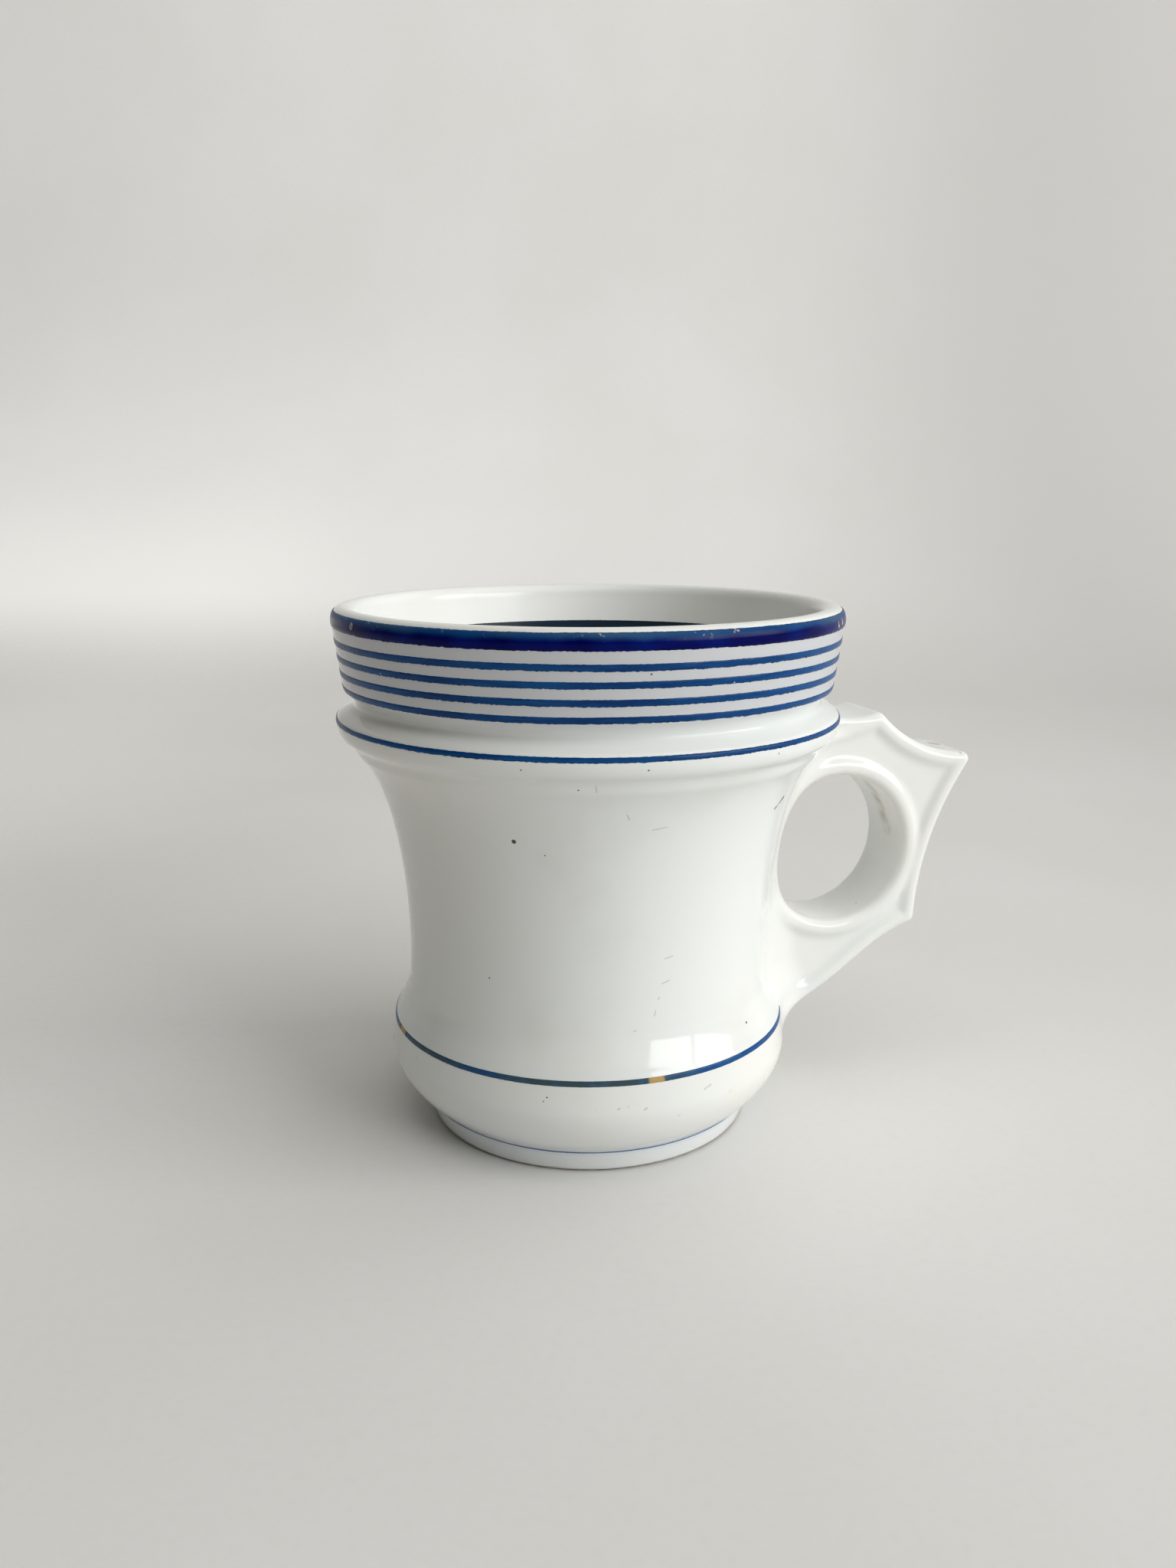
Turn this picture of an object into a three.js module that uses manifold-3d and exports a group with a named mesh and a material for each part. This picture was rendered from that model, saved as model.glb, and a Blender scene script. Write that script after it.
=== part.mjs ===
// A thick porcelain brulot cup: a turned body on a foot ring, a cusped ring handle and fired blue lines.
// Millimetres, +Z up. The cup stands on Z = 0 and its handle points along +X.
// The origin lies under the middle of the whole cup, so the axis of the body stands a little towards -X.
import * as THREE from 'three';
import { mergeVertices } from 'three/addons/utils/BufferGeometryUtils.js';
import Module from 'manifold-3d';

const wasm = await Module();
wasm.setup();

// Foot ring, the part that stands on the table
const footRadius = 25.3;
const footFlare = 1.2;
const footHeight = 3.9;
const footRingWidth = 4;
const footRecess = 1.8;

// Belly and the ledge on top of it
const bellyRadius = 31.75;
const bellyRise = 8.4;
const ledgeInset = 0.6;
const ledgeRise = 4.9;

// Cove above the ledge, and the waisted trunk
const coveRadius = 28.75;
const coveRise = 5.2;
const waistPull = 1;
const trunkRise = 37.5;
const trunkFlarePull = 5.9;

// Shoulder, and how far the ring, the bead and the top of the trunk each step in below it
const shoulderRadius = 38.6;
const shoulderRise = 3.7;
const shoulderEdge = 1;
const ringInset = 0.8;
const ringRise = 1.5;
const beadInset = 1.7;
const beadRise = 1;
const trunkTopInset = 0.4;

// Groove, collar and lip
const grooveDepth = 3.1;
const grooveRise = 1.5;
const collarStep = 1.85;
const collarStepRise = 2.4;
const collarFlare = 1.45;
const collarRise = 10.4;
const lipRise = 2;
const lipInset = 1.9;

// Walls and the hollow
const lipWall = 3.8;
const collarWall = 3.6;
const trunkWall = 3.9;
const floorThickness = 4.4;
const floorFillet = 8;

// Handle, measured from the axis of the body (reach) and from the table (height)
const handleWidth = 13;
const handleRootTop = 57.8;
const topCuspReach = 47.9;
const topCuspHeight = 63.3;
const tipReach = 65.4;
const tipHeight = 55.2;
const lowerTipReach = 56;
const lowerTipHeight = 26.9;
const handleRootBottom = 14.2;
const upperScallop = 1.8;
const sideScallop = 2;
const lowerSway = 1.7;
const lowerBulge = 8;
const handleEdgeRound = 1;
const handleBeadWidth = 2.6;
const handlePanelDepth = 0.8;
const handleGap = 0.3;

// Finger hole, a leaning oval that the body cuts off on its inner side
const holeReach = 40.9;
const holeHeight = 40.8;
const holeLength = 24.8;
const holeWidth = 24.6;
const holeLean = THREE.MathUtils.degToRad(12);

// Fired enamel: the lines' widths, and how far each lies from the edge of the body that it follows
const enamelThickness = 0.15;
const footLineWidth = 0.45;
const footLineDrop = 0.2;
const bellyLineWidth = 0.75;
const bellyLineDrop = 0.4;
const shoulderLineWidth = 0.75;
const collarLineWidth = 0.95;
const collarLineDrop = 3;
const collarLinePitch = 2.3;
const collarLineCount = 4;
const rimBandWidth = 2.4;
const rimBandLift = 0.24;
const innerLineWidth = 1.4;
const innerLineDrop = 5.05;

// Bends of the profile: where each curve's handles lie, as shares of its own width and rise
const bellyLowOut = 0.45;
const bellyLowUp = 0.2;
const bellyHighUp = 0.6;
const coveIn = 0.56;
const coveUp = 0.38;
const waistUp = 0.312;
const flareUp = 0.86;
const ringSwellOut = 0.11;
const ringSwellUp = 0.53;
const shoulderSwellOut = 0.875;
const shoulderSwellUp = 0.37;
const hollowWaistUp = 0.25;
const hollowFlareOut = 0.25;
const hollowFlareUp = 0.83;

// Fineness of the round faces, and distances under which two points count as one
const turnSegments = 40;
const curveSteps = 5;
const handleSteps = 10;
const roundSteps = 2;
const edgeTolerance = 1e-6;
const mergeTolerance = 1e-4;

// Heights that follow from the rises above
const ledgeTop = footHeight + bellyRise + ledgeRise;
const coveTop = ledgeTop + coveRise;
const trunkTop = coveTop + trunkRise;
const beadTop = trunkTop + beadRise;
const ringTop = beadTop + ringRise;
const shoulderHeight = beadTop + shoulderRise;
const grooveHeight = shoulderHeight + shoulderEdge + grooveRise;
const collarFoot = grooveHeight + collarStepRise;
const rimHeight = collarFoot + collarRise;
const cupHeight = rimHeight + lipRise;

// Radii that follow
const footTopRadius = footRadius + footFlare;
const ledgeRadius = bellyRadius - ledgeInset;
const ringRadius = shoulderRadius - ringInset;
const beadRadius = ringRadius - beadInset;
const trunkTopRadius = beadRadius - trunkTopInset;
const grooveRadius = shoulderRadius - grooveDepth;
const collarRadius = grooveRadius + collarStep;
const rimRadius = collarRadius + collarFlare;
const widestRadius = Math.max(rimRadius, shoulderRadius) + enamelThickness;

// The body's axis stands so that the whole cup is centred over the origin
const axisX = (widestRadius - tipReach) / 2;

// Painted lines on the outside, from the foot up, by the height of their middle
const outerLines = [
  { name: 'foot_line', height: footHeight - footLineDrop, width: footLineWidth },
  { name: 'belly_line', height: ledgeTop - bellyLineDrop, width: bellyLineWidth },
  { name: 'shoulder_line', height: shoulderHeight + shoulderEdge / 2, width: shoulderLineWidth },
];
for (let i = 0; i < collarLineCount; i += 1) {
  const height = rimHeight - collarLineDrop - i * collarLinePitch;
  outerLines.push({ name: `collar_line_${i + 1}`, height, width: collarLineWidth });
}
outerLines.push({ name: 'rim_band', height: rimHeight + rimBandLift, width: rimBandWidth });
const innerLine = { name: 'inner_line', height: rimHeight - innerLineDrop, width: innerLineWidth };

// Outside of the body, from the foot up to the crest of the lip, as radius and height
function outerProfile() {
  const path = new THREE.Path();
  path.moveTo(footRadius, 0);
  path.lineTo(footTopRadius, footHeight);
  const bellyWidest = footHeight + bellyRise;
  path.bezierCurveTo(
    footTopRadius + (bellyRadius - footTopRadius) * bellyLowOut, footHeight + bellyRise * bellyLowUp,
    bellyRadius, footHeight + bellyRise * bellyHighUp,
    bellyRadius, bellyWidest,
  );
  path.lineTo(ledgeRadius, ledgeTop);
  path.quadraticCurveTo(
    ledgeRadius + (coveRadius - ledgeRadius) * coveIn, ledgeTop + coveRise * coveUp,
    coveRadius, coveTop,
  );
  path.bezierCurveTo(
    coveRadius - waistPull, coveTop + trunkRise * waistUp,
    trunkTopRadius - trunkFlarePull, coveTop + trunkRise * flareUp,
    trunkTopRadius, trunkTop,
  );
  path.lineTo(beadRadius, beadTop);
  path.quadraticCurveTo(
    beadRadius + (ringRadius - beadRadius) * ringSwellOut, beadTop + ringRise * ringSwellUp,
    ringRadius, ringTop,
  );
  path.quadraticCurveTo(
    ringRadius + (shoulderRadius - ringRadius) * shoulderSwellOut,
    ringTop + (shoulderHeight - ringTop) * shoulderSwellUp,
    shoulderRadius, shoulderHeight,
  );
  path.lineTo(shoulderRadius, shoulderHeight + shoulderEdge);
  path.lineTo(grooveRadius, grooveHeight);
  path.quadraticCurveTo(grooveRadius, grooveHeight + collarStepRise / 2, collarRadius, collarFoot);
  path.lineTo(rimRadius, rimHeight);
  path.quadraticCurveTo(rimRadius, cupHeight, rimRadius - lipInset, cupHeight);
  return path.getPoints(curveSteps);
}

// Inside of the body, from the crest of the lip down to the middle of the floor
function innerProfile() {
  const path = new THREE.Path();
  const floorTop = footRecess + floorThickness;
  const collarInside = collarRadius - collarWall;
  const waistInside = coveRadius - trunkWall;
  const waistHeight = coveTop + trunkRise * hollowWaistUp;
  path.moveTo(rimRadius - lipInset, cupHeight);
  path.quadraticCurveTo(rimRadius - lipWall, cupHeight, rimRadius - lipWall, rimHeight);
  path.lineTo(collarInside, grooveHeight);
  path.bezierCurveTo(
    collarInside, beadTop,
    waistInside + trunkFlarePull * hollowFlareOut, coveTop + trunkRise * hollowFlareUp,
    waistInside, waistHeight,
  );
  path.lineTo(waistInside, floorTop + floorFillet);
  path.quadraticCurveTo(waistInside, floorTop, waistInside - floorFillet, floorTop);
  path.lineTo(0, floorTop);
  return path.getPoints(curveSteps);
}

// Adds a point to a profile wherever it crosses one of the given heights
function withEdges(profile, heights) {
  const points = [profile[0]];
  for (let i = 1; i < profile.length; i += 1) {
    const from = profile[i - 1];
    const to = profile[i];
    const crossed = heights.filter((h) => (h - from.y) * (to.y - h) > 0);
    crossed.sort((a, b) => (to.y > from.y ? a - b : b - a));
    for (const h of crossed) {
      points.push(from.clone().lerp(to, (h - from.y) / (to.y - from.y)));
    }
    points.push(to);
  }
  return points;
}

// Lower and upper edge of a painted line
function lineEdges(line) {
  return [line.height - line.width / 2, line.height + line.width / 2];
}

// Turns a profile of radius and height about the Z axis
function turn(profile) {
  const geometry = new THREE.LatheGeometry(profile, turnSegments);
  geometry.rotateX(Math.PI / 2);
  return geometry;
}

// A thin ring of enamel that lies on the profile between the two edges of a painted line
function enamelRing(profile, line, thickness) {
  const [low, high] = lineEdges(line);
  const seat = profile.filter((p) => p.y >= low - edgeTolerance && p.y <= high + edgeTolerance);
  if (seat[0].y > seat[seat.length - 1].y) {
    seat.reverse();
  }
  const face = seat.map((p) => new THREE.Vector2(p.x + thickness, p.y)).reverse();
  const section = [...seat, ...face, seat[0]];
  return turn(thickness > 0 ? section.reverse() : section);
}

// A closed geometry as a solid that can be cut
function toSolid(geometry) {
  const plain = geometry.clone();
  plain.deleteAttribute('normal');
  plain.deleteAttribute('uv');
  const merged = mergeVertices(plain, mergeTolerance);
  const index = Array.from(merged.index.array);
  const triangles = [];
  for (let i = 0; i < index.length; i += 3) {
    const [a, b, c] = index.slice(i, i + 3);
    if (a !== b && b !== c && c !== a) {
      triangles.push(a, b, c);
    }
  }
  return new wasm.Manifold(new wasm.Mesh({
    numProp: 3,
    vertProperties: Float32Array.from(merged.attributes.position.array),
    triVerts: Uint32Array.from(triangles),
  }));
}

// A solid back as a geometry
function toGeometry(solid) {
  const mesh = solid.getMesh();
  const geometry = new THREE.BufferGeometry();
  geometry.setAttribute('position', new THREE.BufferAttribute(mesh.vertProperties, 3));
  geometry.setIndex(new THREE.BufferAttribute(mesh.triVerts, 1));
  geometry.computeVertexNormals();
  return geometry;
}

// A point beside the middle of a straight line from a to b, to the right of its direction
function besideChord(a, b, share, distance) {
  const along = b.clone().sub(a);
  const right = new THREE.Vector2(along.y, -along.x).normalize();
  return a.clone().lerp(b, share).addScaledVector(right, distance);
}

// A corner moved inwards by the same distance from both of the straight lines that meet there
function insetCorner(before, corner, after, inset) {
  const first = corner.clone().sub(before).normalize();
  const second = after.clone().sub(corner).normalize();
  const bisector = new THREE.Vector2(first.y + second.y, -first.x - second.x);
  const scale = 2 * inset / bisector.lengthSq();
  return corner.clone().addScaledVector(bisector, scale);
}

// Outline of the handle in its own plane, drawn clockwise from the upper root, moved inwards by inset
function handleOutline(inset) {
  const rootReach = coveRadius - trunkWall;
  const corners = [
    new THREE.Vector2(rootReach, handleRootTop),
    new THREE.Vector2(topCuspReach, topCuspHeight),
    new THREE.Vector2(tipReach, tipHeight),
    new THREE.Vector2(lowerTipReach, lowerTipHeight),
    new THREE.Vector2(rootReach, handleRootBottom),
  ];
  const last = corners.length - 1;
  const moved = corners.map((corner, i) => {
    if (i === 0 || i === last) {
      return corner.clone().add(new THREE.Vector2(0, i === 0 ? -inset : inset));
    }
    return insetCorner(corners[i - 1], corner, corners[i + 1], inset);
  });
  const [rootTop, topCusp, tip, lowerTip, rootBottom] = moved;
  const upper = besideChord(topCusp, tip, 1 / 2, 2 * upperScallop);
  const side = besideChord(tip, lowerTip, 1 / 2, 2 * sideScallop);
  const sway = besideChord(lowerTip, rootBottom, 1 / 3, lowerSway);
  const swayBack = besideChord(lowerTip, rootBottom, 2 / 3, -lowerBulge);
  const shape = new THREE.Shape();
  shape.moveTo(rootTop.x, rootTop.y);
  shape.lineTo(topCusp.x, topCusp.y);
  shape.quadraticCurveTo(upper.x, upper.y, tip.x, tip.y);
  shape.quadraticCurveTo(side.x, side.y, lowerTip.x, lowerTip.y);
  shape.bezierCurveTo(sway.x, sway.y, swayBack.x, swayBack.y, rootBottom.x, rootBottom.y);
  return shape;
}

// The finger hole, grown on all sides
function fingerHole(grow) {
  const hole = new THREE.Shape();
  const across = holeWidth / 2 + grow;
  const along = holeLength / 2 + grow;
  hole.absellipse(holeReach, holeHeight, across, along, 0, 2 * Math.PI, false, -holeLean);
  return hole;
}

// Extrudes a shape of the handle's plane across the handle, standing upright, from one height to another in Y
function acrossHandle(shape, from, to, round) {
  const geometry = new THREE.ExtrudeGeometry(shape, {
    depth: to - from - 2 * round,
    steps: 1,
    curveSegments: handleSteps,
    bevelEnabled: round > 0,
    bevelThickness: round,
    bevelSize: round,
    bevelOffset: -round,
    bevelSegments: roundSteps,
  });
  geometry.translate(0, 0, from + round);
  geometry.rotateX(Math.PI / 2);
  return geometry;
}

// The handle: a cusped plate with a finger hole, sunk panels on both faces, cut off at the body
function handleGeometry(profile) {
  const half = handleWidth / 2;
  let handle = toSolid(acrossHandle(handleOutline(0), -half, half, handleEdgeRound));
  handle = handle.subtract(toSolid(acrossHandle(fingerHole(0), -handleWidth, handleWidth, 0)));
  for (const side of [-1, 1]) {
    const sunk = side * (half - handlePanelDepth);
    const clear = side * (half + handlePanelDepth);
    const low = Math.min(sunk, clear);
    const high = Math.max(sunk, clear);
    const panel = toSolid(acrossHandle(handleOutline(handleBeadWidth), low, high, 0));
    const ring = toSolid(acrossHandle(fingerHole(handleBeadWidth), low, high, 0));
    handle = handle.subtract(panel.subtract(ring));
  }
  const grown = profile.map((p) => new THREE.Vector2(p.x + handleGap, p.y));
  const under = new THREE.Vector2(0, grown[0].y);
  const above = new THREE.Vector2(0, grown[grown.length - 1].y);
  return toGeometry(handle.subtract(toSolid(turn([under, ...grown, above]))));
}

// Materials: white glazed porcelain, and the blues of the fired lines
const porcelain = new THREE.MeshStandardMaterial({ color: 0xe9ebe6, roughness: 0.15, metalness: 0 });
const lineBlue = new THREE.MeshStandardMaterial({ color: 0x1d4f8c, roughness: 0.25, metalness: 0 });
const bandBlue = new THREE.MeshStandardMaterial({ color: 0x0b1f5c, roughness: 0.25, metalness: 0 });

const cup = new THREE.Group();
cup.position.x = axisX;

function addPiece(name, geometry, material) {
  const mesh = new THREE.Mesh(geometry, material);
  mesh.name = name;
  cup.add(mesh);
}

const outside = withEdges(outerProfile(), outerLines.flatMap(lineEdges));
const inside = withEdges(innerProfile(), lineEdges(innerLine));

// Underside: the flat foot ring and the shallow recess within it
const underside = [
  new THREE.Vector2(0, footRecess),
  new THREE.Vector2(footRadius - footRingWidth, footRecess),
  new THREE.Vector2(footRadius - footRingWidth, 0),
];

addPiece('cup_body', turn([...underside, ...outside, ...inside.slice(1)]), porcelain);
addPiece('handle', handleGeometry(outside), porcelain);
for (const line of outerLines) {
  const material = line.name === 'rim_band' ? bandBlue : lineBlue;
  addPiece(line.name, enamelRing(outside, line, enamelThickness), material);
}
addPiece(innerLine.name, enamelRing(inside, innerLine, -enamelThickness), lineBlue);

export default cup;
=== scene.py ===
"""A porcelain brulot cup: turned body, cast ring handle and hand-banded blue lines."""

import math

import bmesh
import bpy
import numpy as np
from mathutils import Matrix, Vector


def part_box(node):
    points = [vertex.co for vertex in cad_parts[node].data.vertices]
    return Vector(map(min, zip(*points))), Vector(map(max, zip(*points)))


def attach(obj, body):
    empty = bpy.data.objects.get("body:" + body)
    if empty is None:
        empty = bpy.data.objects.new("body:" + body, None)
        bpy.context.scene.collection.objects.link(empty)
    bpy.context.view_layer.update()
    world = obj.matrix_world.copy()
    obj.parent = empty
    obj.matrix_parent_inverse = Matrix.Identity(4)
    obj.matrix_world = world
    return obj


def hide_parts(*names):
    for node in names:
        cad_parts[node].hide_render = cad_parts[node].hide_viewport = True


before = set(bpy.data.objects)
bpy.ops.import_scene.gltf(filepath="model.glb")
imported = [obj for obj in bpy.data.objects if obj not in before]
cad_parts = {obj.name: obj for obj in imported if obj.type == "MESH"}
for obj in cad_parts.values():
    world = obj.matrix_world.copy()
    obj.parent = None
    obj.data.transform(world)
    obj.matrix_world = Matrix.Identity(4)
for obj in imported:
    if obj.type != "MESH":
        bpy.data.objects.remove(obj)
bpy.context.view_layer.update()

MM = 0.001

# The body's axis and height come from the frame
body_low, body_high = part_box("cup_body")
AXIS_X = (body_low[0] + body_high[0]) / 2
CUP_HEIGHT = body_high[2] / MM

# Driving dimensions of the turned body, in millimetres
FOOT_RADIUS = 25.3
FOOT_FLARE = 1.2
FOOT_HEIGHT = 3.9
FOOT_RING_WIDTH = 4.0
FOOT_RECESS = 1.8
BELLY_RADIUS = 31.75
BELLY_RISE = 8.4
LEDGE_RADIUS = 31.15
LEDGE_RISE = 4.9
COVE_RADIUS = 28.75
COVE_RISE = 5.2
WAIST_PULL = 1.0
TRUNK_RISE = 37.5
TRUNK_TOP_RADIUS = 35.7
TRUNK_FLARE_PULL = 5.9
BEAD_RADIUS = 36.1
BEAD_RISE = 1.0
RING_RADIUS = 37.8
RING_RISE = 1.5
SHOULDER_RADIUS = 38.6
SHOULDER_RISE = 3.7
SHOULDER_EDGE = 1.0
GROOVE_RADIUS = 35.5
GROOVE_RISE = 1.5
COLLAR_RADIUS = 37.35
COLLAR_STEP_RISE = 2.4
RIM_RADIUS = 38.8
COLLAR_RISE = 10.4
LIP_INSET = 1.9
LIP_WALL = 3.8
COLLAR_WALL = 3.6
TRUNK_WALL = 3.9
FLOOR_THICKNESS = 4.4
FLOOR_FILLET = 8.0
GLAZE_ROUNDING = 0.4

# Bends of the profile: where each curve's handles lie, as shares of its own width and rise
BELLY_LOW = (0.45, 0.2)
BELLY_HIGH = (1.0, 0.6)
COVE_SAG = (0.56, 0.38)
WAIST_UP = 0.312
FLARE_UP = 0.86
RING_SWELL = (0.11, 0.53)
SHOULDER_SWELL = (0.875, 0.37)
HOLLOW_WAIST_UP = 0.25
HOLLOW_FLARE_OUT = 0.25
HOLLOW_FLARE_UP = 0.83

# Heights that follow from the rises
BELLY_WIDEST = FOOT_HEIGHT + BELLY_RISE
LEDGE_TOP = BELLY_WIDEST + LEDGE_RISE
COVE_TOP = LEDGE_TOP + COVE_RISE
TRUNK_TOP = COVE_TOP + TRUNK_RISE
BEAD_TOP = TRUNK_TOP + BEAD_RISE
SHOULDER = BEAD_TOP + SHOULDER_RISE
GROOVE = SHOULDER + SHOULDER_EDGE + GROOVE_RISE
COLLAR_FOOT = GROOVE + COLLAR_STEP_RISE
RIM = COLLAR_FOOT + COLLAR_RISE

# Driving dimensions of the handle, as reach from the axis and height above the table
HANDLE_WIDTH = 13.0
ROOT_REACH = 25.0
ROOT_TOP = 57.8
TOP_CUSP = (47.9, 63.3)
TIP = (65.4, 55.2)
LOWER_TIP = (56.0, 26.9)
ROOT_BOTTOM = 14.2
UPPER_SCALLOP = 1.8
SIDE_SCALLOP = 2.0
LOWER_SWAY = 1.7
LOWER_BULGE = 8.0
HOLE_CENTRE = (40.9, 40.8)
HOLE_WIDTH = 24.6
HOLE_LENGTH = 24.8
HOLE_LEAN = math.radians(12)
HANDLE_ROUND = 1.3
HANDLE_BEAD = 1.5
PANEL_SOFTNESS = 2.0
PANEL_DEPTH = 0.75
PANEL_FADE = 6.0
ROOT_FILLET = 7.0
ROOT_DEPTH = 0.8
FILLET_SINK = 0.04

# Brushwork of the painted lines: sizes in millimetres, and the scales of their unevenness
LINE_THICKNESS = 0.07
BAND_THICKNESS = 0.11
LINE_FLATNESS = 1.6
LINE_WAVER = 0.2
LINE_RAGGED_TOP = 0.16
LINE_RAGGED_FOOT = 0.4
WAVER_SCALE = 1.3
FINE_RAGGED_SCALE = 80.0
COARSE_RAGGED_SCALE = 12.0
COARSE_RAGGED_SHARE = 0.4
BRUSH_DETAIL = 3.0
NOISE_MEAN = 0.5
EDGE_BLEND = 0.2
SEED_SPREAD = 3.7

# Fineness of the curves and of the pieces
SAME_POINT = 1e-9
CURVE_STEPS = 40
ROUNDING_STEPS = 5
SOFTEN_REACH = 3
TURN_SEGMENTS = 192
PROFILE_STEPS = 460
BODY_WELD = 1e-6
LINE_STEPS = 1000
LINE_SECTION_STEPS = 12
LINE_WELD = 1e-7
FIT_STEPS = 25
HOLE_STEPS = 120
HANDLE_VOXEL = 0.34
VOXEL_MARGIN = 1.0
EVEN_SHARE = 0.5
EVEN_ROUNDS = 6

# The photograph's view of the cup
PHOTO_HEIGHT = 2048
FOCAL_PIXELS = 1715.6
CENTRE_DROP_PIXELS = 10.1
SENSOR_MM = 36.0
CAMERA_DISTANCE = 202.3
CAMERA_HEIGHT = 99.5
CAMERA_PITCH = math.radians(13.22)
HANDLE_AWAY = math.radians(17)
CAMERA_NEAREST = 0.01


class Wire:
    """One output socket; Python operators on it add Math nodes to its tree."""

    def __init__(self, tree, socket):
        self.tree = tree
        self.socket = socket

    def node(self, kind, settings, values, output=0):
        """Any other node in the same tree."""
        return add_node(self.tree, kind, settings, values, output)

    def maths(self, operation, *others):
        """A Math node with this wire first."""
        return self.node("ShaderNodeMath", {"operation": operation}, dict(enumerate((self, *others))))

    def swapped(self, operation, first):
        """A Math node with this wire second."""
        return self.node("ShaderNodeMath", {"operation": operation}, {0: first, 1: self})

    def __add__(self, other):
        return self.maths("ADD", other)

    __radd__ = __add__

    def __sub__(self, other):
        return self.maths("SUBTRACT", other)

    def __rsub__(self, other):
        return self.swapped("SUBTRACT", other)

    def __mul__(self, other):
        return self.maths("MULTIPLY", other)

    __rmul__ = __mul__

    def __truediv__(self, other):
        return self.maths("DIVIDE", other)

    def __rtruediv__(self, other):
        return self.swapped("DIVIDE", other)

    def vector(self, operation, other, output=0):
        """A Vector Math node with this wire first."""
        return self.node("ShaderNodeVectorMath", {"operation": operation}, {0: self, 1: other}, output)

    def other(self, output):
        """Another output of the same node."""
        return Wire(self.tree, self.socket.node.outputs[output])

    def ramp(self, low, high):
        """Goes from 0 at low to 1 at high, smoothly, and stays there."""
        settings = {"interpolation_type": "SMOOTHSTEP"}
        return self.node("ShaderNodeMapRange", settings, {0: self, 1: low, 2: high, 3: 0.0, 4: 1.0})


def add_node(tree, kind, settings, values, output=0):
    """Adds any node: its settings first, then the values or links of its sockets."""
    node = tree.nodes.new(kind)
    for name, setting in settings.items():
        setattr(node, name, setting)
    for key, value in values.items():
        socket = node.inputs[key]
        if isinstance(value, Wire):
            tree.links.new(value.socket, socket)
        else:
            socket.default_value = value
    return Wire(tree, node.outputs[output])


# Curves and profiles

def curve_points(controls):
    """Points along a Bezier curve of any degree."""
    points = np.array(controls, float)
    share = np.linspace(0, 1, CURVE_STEPS)[:, None]
    degree = len(points) - 1
    total = np.zeros((CURVE_STEPS, 2))
    for i, point in enumerate(points):
        total += math.comb(degree, i) * share ** i * (1 - share) ** (degree - i) * point
    return total


def even_steps(points, step):
    """The same polyline with points at an even distance."""
    length = np.concatenate([[0], np.cumsum(np.hypot(*np.diff(points, axis=0).T))])
    places = np.linspace(0, length[-1], int(length[-1] / step) + 2)
    return np.stack([np.interp(places, length, points[:, i]) for i in (0, 1)], axis=1)


def soften(points, radius, step):
    """Rounds the corners of an evenly stepped polyline and keeps its two ends."""
    reach = int(SOFTEN_REACH * radius / step)
    weights = np.exp(-(np.arange(-reach, reach + 1) * step / radius) ** 2 / 2)
    weights /= weights.sum()
    before = 2 * points[0] - points[reach:0:-1]
    after = 2 * points[-1] - points[-2:-reach - 2:-1]
    padded = np.concatenate([before, points, after])
    return np.stack([np.convolve(padded[:, i], weights, "valid") for i in (0, 1)], axis=1)


def between(start, end, share):
    """The point at a share of the width and a share of the rise from start to end."""
    return tuple(s + (e - s) * part for s, e, part in zip(start, end, share))


def outer_curves():
    """Control points of the outside, from the foot up to the crest of the lip."""
    foot_top = (FOOT_RADIUS + FOOT_FLARE, FOOT_HEIGHT)
    widest = (BELLY_RADIUS, BELLY_WIDEST)
    ledge = (LEDGE_RADIUS, LEDGE_TOP)
    cove = (COVE_RADIUS, COVE_TOP)
    trunk = (TRUNK_TOP_RADIUS, TRUNK_TOP)
    bead = (BEAD_RADIUS, BEAD_TOP)
    ring = (RING_RADIUS, BEAD_TOP + RING_RISE)
    shoulder = (SHOULDER_RADIUS, SHOULDER)
    edge = (SHOULDER_RADIUS, SHOULDER + SHOULDER_EDGE)
    groove = (GROOVE_RADIUS, GROOVE)
    collar = (COLLAR_RADIUS, COLLAR_FOOT)
    rim = (RIM_RADIUS, RIM)
    crest = (RIM_RADIUS - LIP_INSET, CUP_HEIGHT)
    return [
        [(FOOT_RADIUS, 0), foot_top],
        [foot_top, between(foot_top, widest, BELLY_LOW), between(foot_top, widest, BELLY_HIGH), widest],
        [widest, ledge],
        [ledge, between(ledge, cove, COVE_SAG), cove],
        [cove, (COVE_RADIUS - WAIST_PULL, COVE_TOP + TRUNK_RISE * WAIST_UP),
         (TRUNK_TOP_RADIUS - TRUNK_FLARE_PULL, COVE_TOP + TRUNK_RISE * FLARE_UP), trunk],
        [trunk, bead],
        [bead, between(bead, ring, RING_SWELL), ring],
        [ring, between(ring, shoulder, SHOULDER_SWELL), shoulder],
        [shoulder, edge],
        [edge, groove],
        [groove, (GROOVE_RADIUS, GROOVE + COLLAR_STEP_RISE / 2), collar],
        [collar, rim],
        [rim, (RIM_RADIUS, CUP_HEIGHT), crest],
    ]


def inner_curves():
    """Control points of the hollow, from the crest of the lip down to the middle of the floor."""
    floor = FOOT_RECESS + FLOOR_THICKNESS
    waist = COVE_RADIUS - TRUNK_WALL
    collar = (COLLAR_RADIUS - COLLAR_WALL, GROOVE)
    lip = (RIM_RADIUS - LIP_WALL, RIM)
    waist_top = (waist, COVE_TOP + TRUNK_RISE * HOLLOW_WAIST_UP)
    waist_foot = (waist, floor + FLOOR_FILLET)
    floor_edge = (waist - FLOOR_FILLET, floor)
    return [
        [(RIM_RADIUS - LIP_INSET, CUP_HEIGHT), (lip[0], CUP_HEIGHT), lip],
        [lip, collar],
        [collar, (collar[0], BEAD_TOP),
         (waist + TRUNK_FLARE_PULL * HOLLOW_FLARE_OUT, COVE_TOP + TRUNK_RISE * HOLLOW_FLARE_UP), waist_top],
        [waist_top, waist_foot],
        [waist_foot, (waist, floor), floor_edge],
        [floor_edge, (0, floor)],
    ]


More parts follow.
